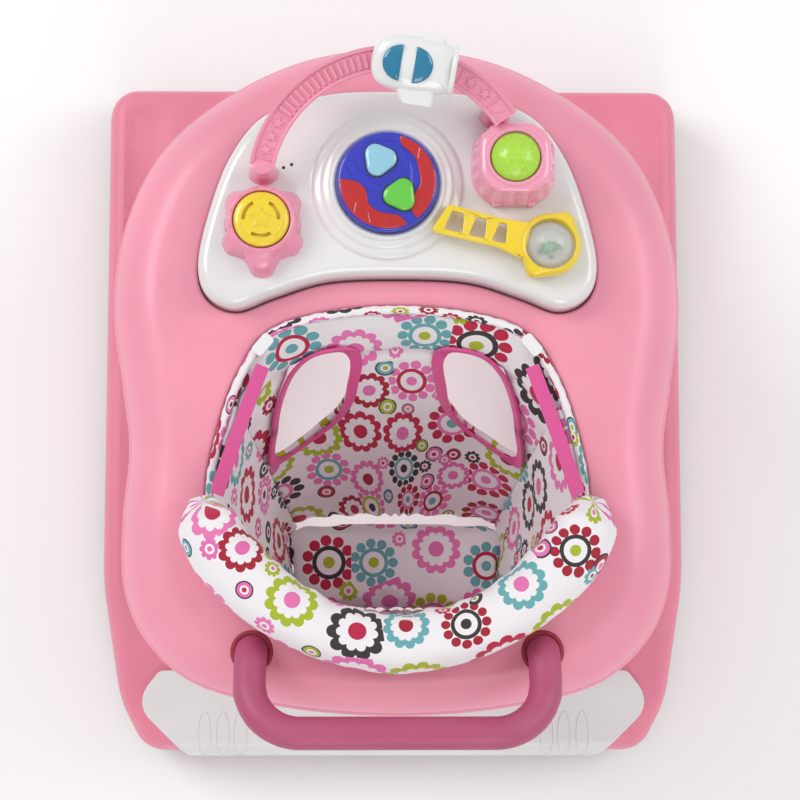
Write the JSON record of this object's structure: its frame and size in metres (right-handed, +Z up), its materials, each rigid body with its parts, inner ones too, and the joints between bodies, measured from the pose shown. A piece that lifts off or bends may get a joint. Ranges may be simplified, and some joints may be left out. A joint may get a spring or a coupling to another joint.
{
  "type": "baby walker",
  "caption": "Folding baby walker: moulded base ring on swivel casters, crossed tube frame, domed tray with padded seat, push handle and toy tray.",
  "frame": {"origin": "on the floor below the middle of the base ring", "axes": "+Z up, +Y forward towards the toy tray, +X to the right of someone behind the push handle"},
  "size_m": [0.622, 0.721, 0.5407],
  "materials": {
    "base_plastic": "moulded, satin gloss pink",
    "bumper_plastic": "moulded, satin white",
    "stopper_rubber": "matt ribbed rubber",
    "rail_plastic": "moulded, matt deep pink",
    "steel": "zinc plated",
    "fork_plastic": "moulded, satin white",
    "wheel_plastic": "moulded, matt charcoal",
    "frame_paint": "white powder coat on steel tube",
    "latch_plastic": "moulded, satin magenta",
    "tray_plastic": "moulded, satin gloss light pink",
    "handle_plastic": "moulded, satin magenta",
    "toy_white": "moulded, high gloss white",
    "cover_plastic": "moulded, matt white",
    "battery_can": "printed steel can, gloss",
    "board_green": "solder resist, satin",
    "speaker_black": "matt black",
    "wheel_blue": "moulded, gloss blue",
    "lens_red": "translucent red, gloss",
    "button_blue": "translucent light blue, gloss",
    "button_green": "translucent green, gloss",
    "arch_pink": "moulded, satin pink",
    "plane_white": "moulded, gloss white",
    "window_blue": "moulded, gloss blue",
    "toy_yellow": "moulded, gloss yellow",
    "light_pink": "translucent pink, gloss",
    "dome_green": "moulded, gloss green",
    "clear_plastic": "clear plastic, gloss",
    "bead_green": "gloss beads",
    "print_fabric": "padded woven polyester with a floral print",
    "clip_plastic": "moulded white"
  },
  "bodies": {
    "base": {"base_shell": "base_plastic", "rear_bumper": "bumper_plastic", "stopper_pads": "stopper_rubber", "base_rails": "rail_plastic", "base_screws": "steel"},
    "caster_1": {"caster_fork_1": "fork_plastic", "caster_axle_1": "steel"},
    "wheel_1": {"caster_wheel_1": "wheel_plastic"},
    "caster_2": {"caster_fork_2": "fork_plastic", "caster_axle_2": "steel"},
    "wheel_2": {"caster_wheel_2": "wheel_plastic"},
    "caster_3": {"caster_fork_3": "fork_plastic", "caster_axle_3": "steel"},
    "wheel_3": {"caster_wheel_3": "wheel_plastic"},
    "caster_4": {"caster_fork_4": "fork_plastic", "caster_axle_4": "steel"},
    "wheel_4": {"caster_wheel_4": "wheel_plastic"},
    "caster_5": {"caster_fork_5": "fork_plastic", "caster_axle_5": "steel"},
    "wheel_5": {"caster_wheel_5": "wheel_plastic"},
    "caster_6": {"caster_fork_6": "fork_plastic", "caster_axle_6": "steel"},
    "wheel_6": {"caster_wheel_6": "wheel_plastic"},
    "outer_frame": {"outer_frame": "frame_paint", "outer_frame_pins": "steel", "cross_rivets": "steel"},
    "inner_frame": {"inner_frame": "frame_paint", "inner_frame_pins": "steel"},
    "tray": {"upper_tray": "tray_plastic", "tray_rails": "rail_plastic", "handle_stems": "handle_plastic", "handle_upper": "handle_plastic", "handle_lower": "handle_plastic", "seat_front": "print_fabric", "seat_base": "print_fabric", "seat_back": "print_fabric", "seat_rim": "print_fabric", "seat_sides": "print_fabric", "seat_clips": "clip_plastic"},
    "latch": {"height_latch": "latch_plastic"},
    "toy_tray": {"toy_tray": "toy_white", "toy_tray_base": "cover_plastic", "battery_door": "cover_plastic", "batteries": "battery_can", "circuit_board": "board_green", "speaker": "speaker_black", "slide_arch": "arch_pink", "spinner_housing": "arch_pink", "light_box": "light_pink", "rattle_frame": "toy_yellow"},
    "steering": {"steering_wheel": "wheel_blue", "wheel_lenses": "lens_red"},
    "blue_button": {"blue_button": "button_blue"},
    "green_button": {"green_button": "button_green"},
    "plane": {"plane_body": "plane_white", "plane_windows": "window_blue"},
    "spinner": {"spinner_disc": "toy_yellow"},
    "dome": {"dome_button": "dome_green"},
    "rattle": {"rattle_ball": "clear_plastic", "rattle_beads": "bead_green"}
  },
  "joints": [
    {"name": "caster_swivel_1", "type": "hinge", "parent": "base", "child": "caster_1", "pos_m": [0.26, 0.3045, 0.07], "axis": [0, 0, 1], "continuous": true},
    {"name": "wheel_spin_1", "type": "hinge", "parent": "caster_1", "child": "wheel_1", "pos_m": [0.26, 0.2925, 0.023], "axis": [1, 0, 0], "continuous": true},
    {"name": "caster_swivel_2", "type": "hinge", "parent": "base", "child": "caster_2", "pos_m": [-0.26, 0.3045, 0.07], "axis": [0, 0, 1], "continuous": true},
    {"name": "wheel_spin_2", "type": "hinge", "parent": "caster_2", "child": "wheel_2", "pos_m": [-0.26, 0.2925, 0.023], "axis": [1, 0, 0], "continuous": true},
    {"name": "caster_swivel_3", "type": "hinge", "parent": "base", "child": "caster_3", "pos_m": [0.26, 0, 0.07], "axis": [0, 0, 1], "continuous": true},
    {"name": "wheel_spin_3", "type": "hinge", "parent": "caster_3", "child": "wheel_3", "pos_m": [0.26, -0.012, 0.023], "axis": [1, 0, 0], "continuous": true},
    {"name": "caster_swivel_4", "type": "hinge", "parent": "base", "child": "caster_4", "pos_m": [-0.26, 0, 0.07], "axis": [0, 0, 1], "continuous": true},
    {"name": "wheel_spin_4", "type": "hinge", "parent": "caster_4", "child": "wheel_4", "pos_m": [-0.26, -0.012, 0.023], "axis": [1, 0, 0], "continuous": true},
    {"name": "caster_swivel_5", "type": "hinge", "parent": "base", "child": "caster_5", "pos_m": [0.238, -0.2982, 0.07], "axis": [0, 0, 1], "continuous": true},
    {"name": "wheel_spin_5", "type": "hinge", "parent": "caster_5", "child": "wheel_5", "pos_m": [0.238, -0.3102, 0.023], "axis": [1, 0, 0], "continuous": true},
    {"name": "caster_swivel_6", "type": "hinge", "parent": "base", "child": "caster_6", "pos_m": [-0.238, -0.2982, 0.07], "axis": [0, 0, 1], "continuous": true},
    {"name": "wheel_spin_6", "type": "hinge", "parent": "caster_6", "child": "wheel_6", "pos_m": [-0.238, -0.3102, 0.023], "axis": [1, 0, 0], "continuous": true},
    {"name": "fold", "type": "hinge", "parent": "base", "child": "outer_frame", "pos_m": [0, 0.166, 0.072], "axis": [1, 0, 0], "range_deg": [0, 38]},
    {"name": "cross_pivot", "type": "hinge", "parent": "outer_frame", "child": "inner_frame", "pos_m": [0, 0.03371, 0.222], "axis": [1, 0, 0], "range_deg": [-76.5, 0.5]},
    {"name": "tray_pivot", "type": "hinge", "parent": "inner_frame", "child": "tray", "pos_m": [0, 0.166, 0.372], "axis": [1, 0, 0], "range_deg": [-0.5, 38.5]},
    {"name": "latch_slide", "type": "slide", "parent": "tray", "child": "latch", "axis": [0, 1, 0], "range_m": [0, 0.012], "stiffness_N_per_m": 250, "springref_m": -0.003},
    {"name": "toy_tray_lift", "type": "slide", "parent": "tray", "child": "toy_tray", "axis": [0, 0, 1], "range_m": [0, 0.06]},
    {"name": "steering_turn", "type": "hinge", "parent": "toy_tray", "child": "steering", "pos_m": [-0.009, 0.166, 0.476], "axis": [0, 0, 1], "range_deg": [-35, 35]},
    {"name": "blue_button_press", "type": "slide", "parent": "steering", "child": "blue_button", "axis": [0, 0, -1], "range_m": [0, 0.003], "stiffness_N_per_m": 300, "springref_m": -0.002},
    {"name": "green_button_press", "type": "slide", "parent": "steering", "child": "green_button", "axis": [0, 0, -1], "range_m": [0, 0.003], "stiffness_N_per_m": 300, "springref_m": -0.002},
    {"name": "plane_slide", "type": "hinge", "parent": "toy_tray", "child": "plane", "pos_m": [-0.004, 0.154, 0.483], "axis": [0, -0.309, 0.9511], "range_deg": [-15, 60]},
    {"name": "spinner_spin", "type": "hinge", "parent": "toy_tray", "child": "spinner", "pos_m": [-0.118, 0.132, 0.472], "axis": [0, 0, 1], "continuous": true},
    {"name": "dome_press", "type": "slide", "parent": "toy_tray", "child": "dome", "axis": [0, 0, -1], "range_m": [0, 0.004], "stiffness_N_per_m": 400, "springref_m": -0.002},
    {"name": "rattle_spin", "type": "hinge", "parent": "toy_tray", "child": "rattle", "pos_m": [0.132, 0.112, 0.474], "axis": [0.972, -0.2352, 0], "continuous": true}
  ],
  "couplings": [
    {"joint": "cross_pivot", "follows": "fold", "ratio": -2},
    {"joint": "tray_pivot", "follows": "fold", "ratio": 1}
  ]
}
